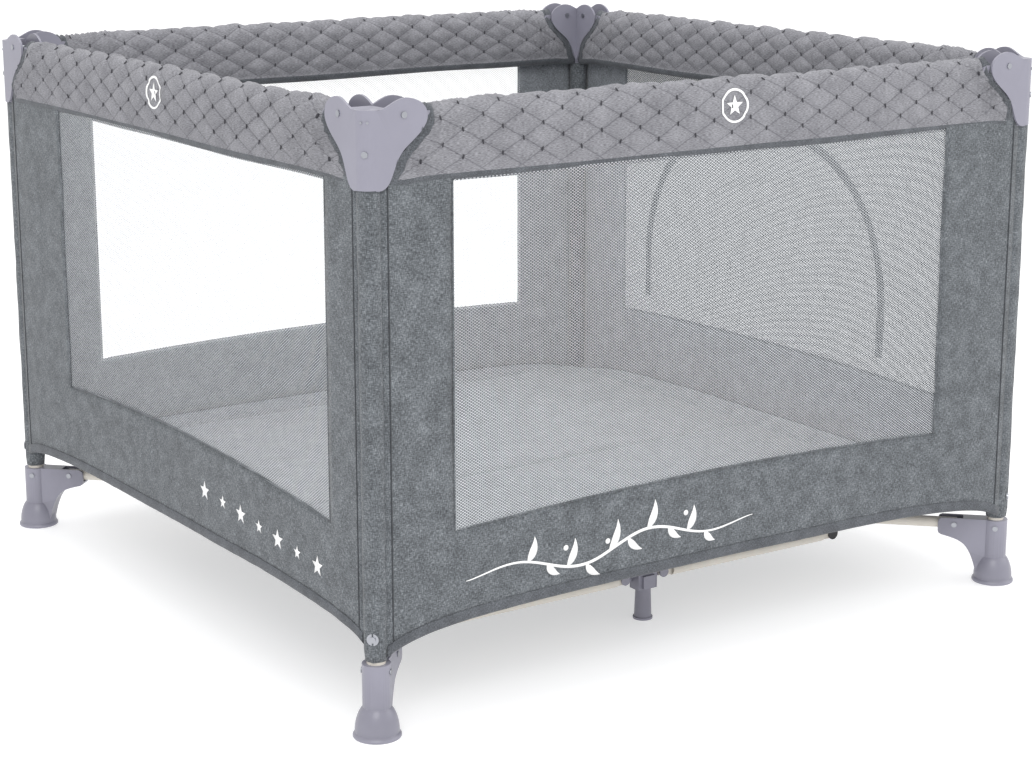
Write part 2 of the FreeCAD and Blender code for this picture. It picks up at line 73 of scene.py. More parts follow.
class Side:
    """One wall. s runs along it from the near leg, out points away from the pen."""

    def __init__(self, name, near, along, out, body, window):
        self.name = name
        self.near = Vector((CORNERS[near][0] * HALF, CORNERS[near][1] * HALF, 0))
        self.along = Vector(along)
        self.out = Vector(out)
        self.body = body
        self.window = window

        ends = {corner: self.at(SPAN, 0, 0) - Vector((*signs, 0)) * HALF for corner, signs in CORNERS.items()}
        self.far = min(ends, key=lambda corner: ends[corner].length)

    def at(self, s, out, z):
        return self.near + self.along * s + self.out * out + Vector((0, 0, z))

    def fold(self, piece, anchor_s=0.0, keep=FOLDED):
        """The piece rides on this wall's leg, with a mesh of its own."""
        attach(piece, self.body)
        tuple(self.along)
        tuple(self.at(anchor_s, 0, 0))
        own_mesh(piece)


# window: start and end along the wall, height of its lower edge at the ends and in the middle
SIDES = [
    Side("front", "front_left", (1, 0, 0), (0, -1, 0), "leg_front_left", (0.098, 0.842, 0.222, 0.2415)),
    Side("left", "front_left", (0, 1, 0), (-1, 0, 0), "leg_front_left", (0.076, 0.805, 0.229, 0.2585)),
    Side("right", "front_right", (0, 1, 0), (1, 0, 0), "leg_front_right", (0.118, 0.862, 0.224, 0.2400)),
    Side("back", "back_left", (1, 0, 0), (0, 1, 0), "leg_back_left", (0.118, 0.868, 0.226, 0.2400)),
]


# ---------------------------------------------------------------- materials
def linear(rgb):
    return tuple((c / 255 / 12.92) if c <= 10 else ((c / 255 + 0.055) / 1.055) ** 2.4 for c in rgb) + (1.0,)


class Shader:
    """Short names for the nodes that the materials share."""

    def __init__(self, name, roughness, metallic=0.0, sheen=0.0):
        self.material = bpy.data.materials.new(name)
        self.material.use_nodes = True
        self.tree = self.material.node_tree
        self.surface = self.tree.nodes["Principled BSDF"]
        self.surface.inputs["Roughness"].default_value = roughness
        self.surface.inputs["Metallic"].default_value = metallic
        self.surface.inputs["Sheen Weight"].default_value = sheen

    def node(self, kind, **settings):
        made = self.tree.nodes.new(kind)
        for key, value in settings.items():
            setattr(made, key, value)
        return made

    def link(self, source, target):
        self.tree.links.new(source, target)

    def place(self, uv=False, stretch=(1, 1, 1)):
        coords = self.node("ShaderNodeTexCoord")
        mapping = self.node("ShaderNodeMapping")
        mapping.inputs["Scale"].default_value = stretch
        self.link(coords.outputs["UV" if uv else "Object"], mapping.inputs["Vector"])
        return mapping.outputs["Vector"]

    def noise(self, place, scale, detail=2.0):
        made = self.node("ShaderNodeTexNoise")
        made.inputs["Scale"].default_value = scale
        made.inputs["Detail"].default_value = detail
        self.link(place, made.inputs["Vector"])
        return made.outputs["Fac"]

    def math(self, operation, first, second=None):
        made = self.node("ShaderNodeMath", operation=operation)
        for socket, value in zip(made.inputs, (first, second)):
            if isinstance(value, (int, float)):
                socket.default_value = value
            elif value is not None:
                self.link(value, socket)
        return made.outputs[0]

    def ramp(self, factor, stops):
        made = self.node("ShaderNodeValToRGB")
        while len(made.color_ramp.elements) < len(stops):
            made.color_ramp.elements.new(0.5)
        for element, (position, colour) in zip(made.color_ramp.elements, stops):
            element.position = position
            element.color = colour
        self.link(factor, made.inputs["Fac"])
        return made.outputs["Color"]

    def mix(self, factor, first, second, blend="MIX"):
        made = self.node("ShaderNodeMix", data_type="RGBA", blend_type=blend)
        for socket, value in ((made.inputs[0], factor), (made.inputs[6], first), (made.inputs[7], second)):
            if isinstance(value, (int, float, tuple)):
                socket.default_value = value
            else:
                self.link(value, socket)
        return made.outputs[2]

    def bump(self, height, strength, distance):
        made = self.node("ShaderNodeBump")
        made.inputs["Strength"].default_value = strength
        made.inputs["Distance"].default_value = distance
        self.link(height, made.inputs["Height"])
        return made.outputs["Normal"]

    def finish(self, colour, normal=None, rough=None):
        self.link(colour, self.surface.inputs["Base Color"])
        if normal is not None:
            self.link(normal, self.surface.inputs["Normal"])
        if rough is not None:
            self.link(rough, self.surface.inputs["Roughness"])
        return self.material


def melange(name, dark, base, light, fleck=520.0):
    """Heathered cloth: short light and dark threads both ways over a fine weave."""
    s = Shader(name, 0.92, sheen=0.12)
    across = s.noise(s.place(uv=True, stretch=(0.45, 1.6, 1)), fleck, 3)
    down = s.noise(s.place(uv=True, stretch=(1.6, 0.45, 1)), fleck, 3)
    cloud = s.noise(s.place(), 55, 3)
    threads = s.math("ADD", s.math("MULTIPLY", across, 0.5), s.math("MULTIPLY", down, 0.5))
    mottled = s.math("ADD", s.math("MULTIPLY", threads, 0.82), s.math("MULTIPLY", cloud, 0.18))
    colour = s.ramp(mottled, ((0.36, linear(dark)), (0.5, linear(base)), (0.66, linear(light))))
    return s.finish(colour, s.bump(threads, 0.35, 0.0006))


def heather(name, dark, base, light, diamond=None):
    """The softer, lighter cloth of the rail covers, with the quilting lines drawn in if it has diamonds."""
    s = Shader(name, 0.92, sheen=0.08)
    across = s.noise(s.place(uv=True, stretch=(0.35, 2.2, 1)), 700, 2)
    cloud = s.noise(s.place(), 38, 4)
    mottled = s.math("ADD", s.math("MULTIPLY", across, 0.75), s.math("MULTIPLY", cloud, 0.25))
    colour = s.ramp(mottled, ((0.34, linear(dark)), (0.5, linear(base)), (0.68, linear(light))))
    if diamond:
        uv = s.node("ShaderNodeSeparateXYZ")
        s.link(s.place(uv=True, stretch=(1 / diamond[0], 1 / diamond[1], 1)), uv.inputs[0])
        lines = []
        for operation in ("ADD", "SUBTRACT"):
            sewn = s.math("FRACT", s.math("ADD", s.math(operation, uv.outputs["X"], uv.outputs["Y"]), 0.5))
            lines.append(s.math("ABSOLUTE", s.math("SUBTRACT", sewn, 0.5)))
        line = s.ramp(s.math("MINIMUM", *lines), ((0.008, (0.66, 0.66, 0.68, 1)), (0.036, (1, 1, 1, 1))))
        colour = s.mix(1.0, colour, line, "MULTIPLY")
    return s.finish(colour, s.bump(across, 0.25, 0.0005))


def net(name, colour, pitch=0.0050, rows=0.0017, hole=0.285):
    """Knitted mesh: round holes in offset rows, cut out by the alpha."""
    s = Shader(name, 0.75, sheen=0.1)
    uv = s.node("ShaderNodeSeparateXYZ")
    s.link(s.place(uv=True, stretch=(1 / pitch, 1 / (2 * rows), 1)), uv.inputs[0])
    reach = []
    for shift in (0.0, 0.5):
        u = s.math("SUBTRACT", s.math("FRACT", s.math("ADD", uv.outputs["X"], shift)), 0.5)
        v = s.math("SUBTRACT", s.math("FRACT", s.math("ADD", uv.outputs["Y"], shift)), 0.5)
        v = s.math("MULTIPLY", v, 2 * rows / pitch)
        reach.append(s.math("SQRT", s.math("ADD", s.math("MULTIPLY", u, u), s.math("MULTIPLY", v, v))))
    nearest = s.math("MINIMUM", *reach)
    thread = s.math("GREATER_THAN", nearest, hole)
    s.link(thread, s.surface.inputs["Alpha"])
    tone = s.noise(s.place(), 60, 2)
    shade = tuple(c * 0.86 for c in colour[:3]) + (1.0,)
    return s.finish(s.ramp(tone, ((0.3, shade), (0.7, colour))), s.bump(nearest, 0.3, 0.0006))


def moulded(name, rgb, rough=0.38):
    """Injection-moulded plastic with a fine spark texture, slight clouding and a painted highlight along its
    sharp edges.
    """
    s = Shader(name, rough)
    place = s.place()
    cloud = s.noise(place, 14, 3)
    grain = s.noise(place, 1600, 2)
    base = linear(rgb)
    low = tuple(c * 0.9 for c in base[:3]) + (1.0,)
    high = tuple(min(1, c * 1.08) for c in base[:3]) + (1.0,)
    geometry = s.node("ShaderNodeNewGeometry")
    # painted highlight: sharp edges, found by their pointiness, are mixed towards a lighter colour
    edge = s.ramp(geometry.outputs["Pointiness"], ((0.5, (0, 0, 0, 1)), (0.56, (0.35, 0.35, 0.35, 1))))
    ink_wear_and_edge_highlight = tuple(min(1, c * 1.3) for c in high[:3]) + (1,)
    colour = s.mix(edge, s.ramp(cloud, ((0.3, low), (0.7, high))), ink_wear_and_edge_highlight)
    roughness = s.math("ADD", s.math("MULTIPLY", cloud, 0.12), rough - 0.06)
    return s.finish(colour, s.bump(grain, 0.12, 0.0002), roughness)


def metal(name, rgb, rough, metallic=1.0, streak=(1, 1, 0.03)):
    s = Shader(name, rough, metallic)
    brushed = s.noise(s.place(stretch=streak), 900, 2)
    cloud = s.noise(s.place(), 20, 3)
    base = linear(rgb)
    low = tuple(c * 0.88 for c in base[:3]) + (1.0,)
    roughness = s.math("ADD", s.math("MULTIPLY", brushed, 0.14), rough - 0.07)
    return s.finish(s.ramp(cloud, ((0.3, low), (0.7, base))), s.bump(brushed, 0.06, 0.0001), roughness)


def printed(name, rgb):
    """Screen-printed ink that lets the weave through a little."""
    s = Shader(name, 0.7)
    ink_wear_and_edge_highlight = s.noise(s.place(), 900, 2)
    base = linear(rgb)
    low = tuple(c * 0.85 for c in base[:3]) + (1.0,)
    return s.finish(s.ramp(ink_wear_and_edge_highlight, ((0.3, low), (0.55, base))), s.bump(ink_wear_and_edge_highlight, 0.2, 0.0002))


LINING = melange("wall_lining", (84, 87, 92), (120, 124, 129), (156, 160, 165))
WALL_CLOTH = melange("wall_cloth", (52, 55, 59), (90, 94, 98), (138, 143, 148))
BINDING = melange("binding_cloth", (50, 52, 56), (80, 83, 88), (116, 120, 126), 800.0)
QUILT = heather("quilt_cloth", (96, 96, 101), (127, 127, 132), (156, 156, 161), DIAMOND)
FLOOR_CLOTH = melange("floor_base_cloth", (62, 64, 68), (84, 87, 92), (112, 116, 122))
MAT_CLOTH = heather("mat_cloth", (104, 107, 111), (126, 130, 134), (148, 152, 156))
NET = net("net", linear((226, 229, 233)))
DOOR_NET = net("door_net", linear((100, 105, 110)), 0.0044, 0.0015, 0.12)
THREAD = printed("stitch_thread", (52, 52, 58))
INK = printed("white_ink", (246, 246, 246))
PLASTIC = moulded("grey_plastic", (129, 128, 140), 0.34)
DARK_PLASTIC = moulded("black_plastic", (36, 36, 40), 0.45)
RED_PLASTIC = moulded("red_plastic", (150, 48, 44), 0.4)
CREAM = metal("cream_paint", (222, 216, 206), 0.4, 0.0)
GREY_PAINT = metal("grey_paint", (168, 168, 172), 0.38, 0.0)
ZINC = metal("zinc", (168, 170, 176), 0.32)
SEAM = melange("seam_cloth", (34, 36, 39), (54, 57, 61), (78, 82, 87), 800.0)
RUBBER = moulded("zip_coil", (120, 122, 128), 0.5)


def finish_nodes(start, material):
    for name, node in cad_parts.items():
        if name.startswith(start):
            for slot in node.material_slots:
                slot.material = material


finish_nodes(("leg_tube", "strut", "bar_"), CREAM)
finish_nodes(("rail_front_", "rail_left_", "rail_right_", "rail_back_"), GREY_PAINT)
finish_nodes(("foot_", "middle_foot", "corner_cover"), PLASTIC)
finish_nodes(("latch_", "knuckle_"), DARK_PLASTIC)
finish_nodes("button_", RED_PLASTIC)
finish_nodes("rivets_", ZINC)


# ---------------------------------------------------------------- mesh helpers
def mesh_piece(name, points, faces, uvs=None, materials=(), face_material=None):
    mesh = bpy.data.meshes.new(name)
    mesh.from_pydata([tuple(p) for p in points], [], faces)
    for material in materials:
        mesh.materials.append(material)
    if uvs is not None:
        layer = mesh.uv_layers.new(name="flat")
        for loop in mesh.loops:
            layer.data[loop.index].uv = uvs[loop.vertex_index]
    if face_material is not None:
        for polygon, index in zip(mesh.polygons, face_material):
            polygon.material_index = index
    for polygon in mesh.polygons:
        polygon.use_smooth = True
    piece = bpy.data.objects.new(name, mesh)
    bpy.context.scene.collection.objects.link(piece)
    return piece


def grid(name, columns, rows, point, materials, uv, ring=False, keep_face=None, pick=None):
    """A sheet over columns × rows. point(i, j) places a vertex. ring joins the last row to the first."""
    points, uvs, faces, chosen = [], [], [], []
    for i in range(columns):
        for j in range(rows):
            points.append(point(i, j))
            uvs.append(uv(i, j))
    for i in range(columns - 1):
        for j in range(rows if ring else rows - 1):
            if keep_face and not keep_face(i, j):
                continue
            k = (j + 1) % rows
            faces.append((i * rows + j, (i + 1) * rows + j, (i + 1) * rows + k, i * rows + k))
            chosen.append(pick(i, j) if pick else 0)
    return mesh_piece(name, points, faces, uvs, materials, chosen)


def flip(piece):
    piece.data.flip_normals()


def thicken(piece, depth):
    made = piece.modifiers.new("thickness", "SOLIDIFY")
    made.thickness = depth
    made.offset = 0.0


def tube(name, path, radius, material, sides=6):
    """A round cord along points, as a mesh."""
    count = len(path)
    points, faces = [], []
    for i, here in enumerate(path):
        before, after = path[max(0, i - 1)], path[min(count - 1, i + 1)]
        ahead = (after - before).normalized()
        lean = Vector((0, 0, 1)) if abs(ahead.z) < 0.9 else Vector((1, 0.3, 0))
        right = ahead.cross(lean).normalized()
        up = right.cross(ahead).normalized()
        for k in range(sides):
            turn = 2 * math.pi * k / sides
            points.append(here + (right * math.cos(turn) + up * math.sin(turn)) * radius)
    for i in range(count - 1):
        n = i + 1
        for k in range(sides):
            m = (k + 1) % sides
            faces.append((i * sides + k, i * sides + m, n * sides + m, n * sides + k))
    faces.append(tuple(range(sides))[::-1])
    faces.append(tuple((count - 1) * sides + k for k in range(sides)))
    return mesh_piece(name, points, faces, [(p.x, p.z) for p in points], [material])


def smoothstep(value, low, high):
    t = max(0.0, min(1.0, (value - low) / (high - low)))
    return t * t * (3 - 2 * t)


def steps(breaks, pitch):
    """Positions from the first break to the last, with each break among them."""
    out = [breaks[0]]
    for a, b in zip(breaks, breaks[1:]):
        count = max(1, round((b - a) / pitch))
        out += [a + (b - a) * (k + 1) / count for k in range(count)]
    return out


# ---------------------------------------------------------------- quilted rail covers
BIND = 0.0125              # width of the dark binding
BIND_STEP = 0.0005         # half the width of the step from binding to quilting
PUFF = 0.0037              # height of a quilted diamond
COVER_LOW = 0.6275         # height of a cover's lower edge
END_SQUEEZE = 12.3 / 16.8  # how far a cover narrows where it enters a corner cover
RING_CONTROL = (           # out from the wall's middle, height
    (0.0070, COVER_LOW), (0.0125, COVER_LOW + 0.005), (0.0150, COVER_LOW + 0.016), (0.0165, 0.658),
    (0.0170, 0.677), (0.0162, 0.693), (0.0132, 0.7050), (0.0070, 0.7120), (0.0, 0.7140),
)
WING_EDGE = (              # edge of a corner cover's wing: height, distance from the leg axis
    (0.600, 0.015), (0.629, 0.0125), (0.640, 0.0175), (0.652, 0.0225), (0.664, 0.0295), (0.675, 0.0415),
    (0.688, 0.0560), (0.700, 0.0625), (0.720, 0.0625),
)
EMBLEM = {"s": 0.489, "v": 0.060, "radius": 0.0200, "line": 0.0026}
RING_LIFT, STAR_LIFT = 0.0007, 0.0009
COVER_FOLD = (0.094, 0.075)   # where a cover gathers to, and how much of its length is left
COVER_SEED = {"front": 1.3, "left": 4.1, "right": 7.7, "back": 11.2}


def fall(table, key):
    """The value that a table of (key, value) pairs gives between its entries."""
    for (a, low), (b, high) in zip(table, table[1:]):
        if key <= b:
            return low + (high - low) * max(0.0, (key - a) / (b - a))
    return table[-1][1]


def ring_profile():
    """The cover's section as points and their distance along the cloth."""
    right = [Vector((o, z)) for o, z in RING_CONTROL]
    loop = right + [Vector((-p.x, p.y)) for p in reversed(right[:-1])]
    fine = []
    for k in range(len(loop) - 1):
        p0, p1, p2, p3 = (loop[max(0, min(len(loop) - 1, k + d))] for d in (-1, 0, 1, 2))
        for t in (0.0, 0.25, 0.5, 0.75):
            fine.append(
                0.5 * (2 * p1 + (p2 - p0) * t + (2 * p0 - 5 * p1 + 4 * p2 - p3) * t * t
                       + (3 * p1 - p0 - 3 * p2 + p3) * t ** 3)
            )
    fine.append(loop[-1])
    lengths = [0.0]
    for a, b in zip(fine, fine[1:]):
        lengths.append(lengths[-1] + (b - a).length)
    return fine, lengths


RING, RING_AT = ring_profile()
GIRTH = RING_AT[-1]


def ring_point(v):
    """Section point and outward direction at a distance along the cloth from the outer edge."""
    for k in range(len(RING) - 1):
        if v <= RING_AT[k + 1] or k == len(RING) - 2:
            t = (v - RING_AT[k]) / (RING_AT[k + 1] - RING_AT[k])
            here = RING[k].lerp(RING[k + 1], t)
            ahead = (RING[k + 1] - RING[k]).normalized()
            return here, Vector((ahead.y, -ahead.x))


def quilt_relief(s, v, end, seed):
    """Height of the padded surface: sewn diamonds, pleats near the corners and a few soft creases."""
    u, w = s / DIAMOND[0] + v / DIAMOND[1], s / DIAMOND[0] - v / DIAMOND[1]
    seam = min(abs(u - round(u)), abs(w - round(w)))
    near_end = math.exp(-((end / 0.095) ** 2))
    puff = PUFF * (1 - 0.6 * near_end) * (1 - math.exp(-((seam / 0.13) ** 2)))
    drift = noise.noise(Vector((s * 9, v * 12, seed)))
    fold = math.sin(s / 0.0026 + 4.0 * drift + v * 20)
    pleat = 0.0058 * near_end * (1 - abs(fold)) * (0.6 + 0.8 * noise.noise(Vector((s * 20, v * 6, seed))))
    crease = 0.0022 * noise.noise(Vector((s * 30, v * 12, seed + 9))) + 0.0016 * drift
    edge = min(v, GIRTH - v)
    fade = smoothstep(edge, BIND * 0.7, BIND * 2.2)
    return (puff + pleat + crease) * fade


def pressed(side, s, v):
    """1 away from the printed emblem, falling to a low share of the quilting under it."""
    if side.name not in ("front", "left"):
        return 1.0
    away = math.hypot(s - EMBLEM["s"], v - EMBLEM["v"]) / (EMBLEM["radius"] * 1.15)
    return 1 - 0.85 * math.exp(-(away ** 6))


def cover_point(side, s, v, lift=0.0):
    """A point on a rail cover at s along the wall and v along the cloth round the rail."""
    section, normal = ring_point(v)
    start = fall(WING_EDGE, section.y)
    end = min(s - start, SPAN - start - s)
    squeeze = END_SQUEEZE + (1 - END_SQUEEZE) * smoothstep(end, 0.001, 0.030)
    seed = COVER_SEED[side.name]
    height = lift + quilt_relief(s, v, end, seed) * pressed(side, s, v)
    if end < BIND or min(v, GIRTH - v) < BIND:
        height += 0.0010
    sway = 0.0012 * math.sin(s * 11 + seed)
    low_wave = 0.0030 * noise.noise(Vector((s * 5, seed, 0))) * smoothstep(0.66 - section.y, 0, 0.05)
    out = (section.x + normal.x * height) * squeeze + sway
    z = section.y + normal.y * height + low_wave - 0.003 * (1 - smoothstep(end, 0.0, 0.05))
    return side.at(s, out, z)


def rail_cover(side):
    ends = steps((0.0, BIND - BIND_STEP, BIND + BIND_STEP, 0.10), 0.0026) + steps((0.10, 0.5), 0.0040)[1:]
    far_edge = GIRTH - BIND
    breaks = (0.0, BIND - BIND_STEP, BIND + BIND_STEP, far_edge - BIND_STEP, far_edge + BIND_STEP, GIRTH)
    rows = steps(breaks, 0.0036)
    half = len(ends)
    columns = ends + [1.0 - e for e in reversed(ends[:-1])]

    def s_of(i, v):
        start = fall(WING_EDGE, ring_point(v)[0].y)
        end = ends[i] if i < half else ends[len(columns) - 1 - i]
        gap = end * (SPAN - 2 * start) if end > BIND + 0.001 else end
        return start + gap if i < half else SPAN - start - gap

    def point(i, j):
        return cover_point(side, s_of(i, rows[j]), rows[j])

    def pick(i, j):
        mirror = min(i, len(columns) - 2 - i)
        v = (rows[j] + rows[min(j + 1, len(rows) - 1)]) / 2
        bound = ends[mirror + 1] <= BIND + 0.0006 or min(v, GIRTH - v) < BIND
        return 1 if bound else 0

    piece = grid(
        f"rail_padding_{side.name}", len(columns), len(rows), point, [QUILT, BINDING], ring=True, pick=pick,
        uv=lambda i, j: (s_of(i, rows[j]), rows[j]),
    )
    side.fold(piece, *COVER_FOLD)
    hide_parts(f"rail_cover_{side.name}")


# a stitch as points (along it, across it, raised or not), pointed at both ends
STITCH_SHAPE = ((-1, 0, 0), (-0.72, -0.5, 1), (-0.72, 0.5, 1), (0.72, -0.5, 1), (0.72, 0.5, 1), (1, 0, 0))
STITCH_FACES = ((0, 1, 2), (1, 3, 4, 2), (3, 5, 4))


def stitches(side):
    """A short dark bar of thread at every point where the quilting lines cross."""
    points, faces = [], []
    length, width, lift = 0.0056, 0.0017, 0.0009
    columns = int(SPAN / (DIAMOND[0] / 2)) + 1
    rows = int(GIRTH / (DIAMOND[1] / 2)) + 1
    for i in range(columns):
        for j in range(rows):
            if (i + j) % 2:
                continue
            s = i * DIAMOND[0] / 2 + draw.uniform(-0.0008, 0.0008)
            v = j * DIAMOND[1] / 2 + draw.uniform(-0.0006, 0.0006)
            start = fall(WING_EDGE, ring_point(min(max(v, 0), GIRTH))[0].y)
            clear_of_ends = start + BIND * 1.4 < s < SPAN - start - BIND * 1.4
            clear_of_edges = BIND * 1.5 < v < GIRTH - BIND * 1.5
            if not (clear_of_ends and clear_of_edges):
                continue
            slant = draw.uniform(-0.0006, 0.0006)
            base = len(points)
            for down, across, raised in STITCH_SHAPE:
                along_wall = s + across * width + slant * down
                round_rail = v + down * length / 2
                points.append(cover_point(side, along_wall, round_rail, lift * (0.3 + 0.7 * raised)))
            faces += [tuple(base + k for k in face) for face in STITCH_FACES]
    piece = mesh_piece(f"stitches_{side.name}", points, faces, [(p.x + p.y, p.z) for p in points], [THREAD])
    thicken(piece, 0.0006)
    side.fold(piece, *COVER_FOLD)


def star_outline(radius, points=5, inner=0.42):
    out = []
    for k in range(2 * points):
        r = radius if k % 2 == 0 else radius * inner
        turn = math.pi / 2 + math.pi * k / points
        out.append((r * math.cos(turn), r * math.sin(turn)))
    return out


def emblem(side):
    """A plain ring round a star, printed on the cover."""
    rounds, radial = 72, 3
    points, faces = [], []
    centre_s, centre_v = EMBLEM["s"], EMBLEM["v"]
    for k in range(rounds):
        turn = 2 * math.pi * k / rounds
        for j in range(radial):
            r = EMBLEM["radius"] - EMBLEM["line"] * j / (radial - 1)
            s, v = centre_s + r * math.cos(turn), centre_v + r * math.sin(turn)
            points.append(cover_point(side, s, v, RING_LIFT))
    for k in range(rounds):
        n = (k + 1) % rounds
        for j in range(radial - 1):
            faces.append((k * radial + j, n * radial + j, n * radial + j + 1, k * radial + j + 1))
    base = len(points)
    outline = star_outline(EMBLEM["radius"] * 0.62)
    rings = 4
    points.append(cover_point(side, centre_s, centre_v, STAR_LIFT))
    for ring in range(1, rings + 1):
        for x, y in outline:
            s, v = centre_s + x * ring / rings, centre_v + y * ring / rings
            points.append(cover_point(side, s, v, STAR_LIFT))
    count = len(outline)
    for k in range(count):
        n = (k + 1) % count
        faces.append((base, base + 1 + k, base + 1 + n))
        for ring in range(rings - 1):
            a, b = base + 1 + ring * count, base + 1 + (ring + 1) * count
            faces.append((a + k, b + k, b + n, a + n))
    piece = mesh_piece(f"emblem_{side.name}", points, faces, [(p.x + p.y, p.z) for p in points], [INK])
    thicken(piece, 0.0005)
    side.fold(piece, *COVER_FOLD)


for side in SIDES:
    rail_cover(side)
    stitches(side)
for side in SIDES[:2]:
    emblem(side)


# ---------------------------------------------------------------- walls
WALL_START = 0.0075        # distance from the leg axis to where a wall meets the sleeve
WALL_TOP = 0.662           # inside the rail cover
WINDOW_TOP = 0.642
SEAM_AT = WALL_START + 0.0085   # distance from the leg axis to the dark seam beside the sleeve
HEM_MIDDLE = {"front": 0.1285, "left": 0.1355, "right": 0.1300, "back": 0.1320}
HEM_DROP = ((4, 0.0195), (16, 0.0160))   # how the hem falls towards the legs: power and depth
HEM_BOW = {"front": 1.0, "left": 0.75, "right": 0.9, "back": 0.85}
HEM_LOW = 0.0940           # the hem stays above the feet
HEM_BAND = 0.011           # width of the doubled edge
CLOTH = 0.0012             # thickness of the border cloth
WALL_SEED = {"front": 2.0, "left": 6.0, "right": 3.0, "back": 8.0}


def arch(s, ends, centre):
    """Height of an edge that bows between the legs."""
    t = (s - SPAN / 2) / (SPAN / 2)
    return centre + (ends - centre) * t * t


def hem(side, s):
    """Height of the lower edge, level over most of the wall and falling to the legs."""
    t = abs(s - SPAN / 2) / (SPAN / 2)
    drop = sum(depth * t ** power for power, depth in HEM_DROP)
    return max(HEM_LOW, HEM_MIDDLE[side.name] - HEM_BOW[side.name] * drop)


def wall_relief(side, s, z):
    """Soft waves in the cloth, none at the legs."""
    fade = smoothstep(min(s, SPAN - s), 0.01, 0.07)
    seed = WALL_SEED[side.name]
    slack = 0.0015 * noise.noise(Vector((s * 7, z * 9, seed)))
    pucker = 0.0007 * noise.noise(Vector((s * 45, z * 22, seed + 4)))
    belly = 0.0016 * math.sin(math.pi * max(0.0, min(1.0, (z - hem(side, s)) / 0.12)))
    return (slack + pucker + belly + 0.0012) * fade


def wall_point(side, s, z, lift=0.0):
    return side.at(s, WALL_OUT + wall_relief(side, s, z) + lift, z)


def wall_frame(side):
    """The cloth border round the window, with its hem."""
    left, right, low_end, low_mid = side.window
    across = steps((WALL_START, left, right, SPAN - WALL_START), 0.0105)
    bands = steps((0.0, 0.08, 1.0, 2.0, 2.10), 0.10)

    def height(s, band):
        low, edge = hem(side, s), arch(s, low_end, low_mid)
        if band <= 1:
            return low + (edge - low) * band
        if band <= 2:
            return edge + (WINDOW_TOP - edge) * (band - 1)
        return WINDOW_TOP + (WALL_TOP - WINDOW_TOP) * (band - 2) / 0.1

    def point(i, j):
        s = across[i]
        z = height(s, bands[j])
        tuck = -0.0035 * smoothstep(bands[j], 2.0, 2.1)
        return wall_point(side, s, z, tuck)

    def keep_face(i, j):
        inside = across[i] >= left - 1e-6 and across[i + 1] <= right + 1e-6
        return not (inside and 1 - 1e-6 <= bands[j] and bands[j + 1] <= 2 + 1e-6)

    piece = grid(
        f"wall_border_{side.name}", len(across), len(bands), point, [WALL_CLOTH, LINING], keep_face=keep_face,
        uv=lambda i, j: (across[i], height(across[i], bands[j])),
    )
    area = sum(p.area for p in piece.data.polygons)
    if side.along.cross(Vector((0, 0, 1))).dot(side.out) < 0:
        flip(piece)
    thicken(piece, CLOTH)
    piece.modifiers["thickness"].material_offset = 1   # the lighter lining faces into the pen
    side.fold(piece)
    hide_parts(f"side_panel_{side.name}")
    return piece, area


def wall_net(side):
    left, right, low_end, low_mid = side.window
    seam = 0.003
    across = steps((left - seam, right + seam), 0.012)
    up = steps((0.0, 1.0), 0.04)

    def height(s, t):
        low = arch(s, low_end, low_mid) - seam
        return low + (WINDOW_TOP + seam - low) * t

    def point(i, j):
        return wall_point(side, across[i], height(across[i], up[j]), -0.0009)

    piece = grid(
        f"window_net_{side.name}", len(across), len(up), point, [DOOR_NET if side.name == "right" else NET],
        uv=lambda i, j: (across[i], height(across[i], up[j])),
    )
    area = sum(p.area for p in piece.data.polygons)
    side.fold(piece)
    return piece, area


def window_seam(side):
    """The rolled seam where the net meets the cloth, down one side, along and up the other."""
    left, right, low_end, low_mid = side.window
    lift, count = 0.0005, 60
    path = [wall_point(side, left, z, lift) for z in steps((WINDOW_TOP, arch(left, low_end, low_mid)), 0.03)]
    for k in range(1, count):
        s = left + (right - left) * k / count
        path.append(wall_point(side, s, arch(s, low_end, low_mid), lift))
    rise = steps((arch(right, low_end, low_mid), WINDOW_TOP), 0.03)
    path += [wall_point(side, right, z, lift) for z in rise]
    piece = tube(f"window_seam_{side.name}", path, 0.0011, WALL_CLOTH)
    side.fold(piece)


def hem_band(side):
    """The doubled hem along a wall's lower edge and the flap that runs in to the floor."""
    across = steps((WALL_START, SPAN - WALL_START), 0.0105)
    # each row: share of the way in to the floor, height above the hem, distance out from the wall
    profile = (
        (0.0, HEM_BAND, 0.0011), (0.0, HEM_BAND - 0.0006, 0.0019), (0.0, 0.004, 0.0021), (0.0, 0.0, 0.0018),
        (0.0, -0.0022, 0.0), (0.25, -0.0012, 0.0), (0.6, 0.0, 0.0), (1.0, 0.0, 0.0),
    )

    def point(i, j):
        s = across[i]
        inward, rise, lift = profile[j]
        low = hem(side, s)
        if inward == 0.0:
            return wall_point(side, s, low + rise, lift)
        corner = smoothstep(min(s, SPAN - s), -0.004, 0.022)
        reach = WALL_OUT - inward * (WALL_OUT + FLOOR_EDGE) * corner
        z = low + (FLOOR_TOP + 0.0002 - low) * inward * corner + rise
        return side.at(s, reach + wall_relief(side, s, low) * (1 - inward), z)

    piece = grid(
        f"hem_{side.name}", len(across), len(profile), point, [BINDING, LINING],
        pick=lambda i, j: 0 if j < 4 else 1,
        uv=lambda i, j: (across[i], profile[j][1] + 0.03 * profile[j][0]),
    )
    thicken(piece, 0.0009)
    side.fold(piece)


def leg_seams(side):
    """The dark seams where the wall meets the two leg sleeves."""
    for end, s in (("near", SEAM_AT), ("far", SPAN - SEAM_AT)):
        path = [wall_point(side, s, z, 0.0006) for z in steps((hem(side, s) + 0.003, WALL_TOP - 0.010), 0.02)]
        piece = tube(f"leg_seam_{side.name}_{end}", path, 0.0011, SEAM)
        if end == "near":
            side.fold(piece)
        else:
            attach(piece, f"leg_{side.far}")


SLEEVE = LEG_RADIUS + 0.0023    # radius of the cloth round a leg, then where it starts and ends
SLEEVE_LOW = FOOT_TOP + 0.004
SLEEVE_HIGH = CORNER_LOW + 0.012


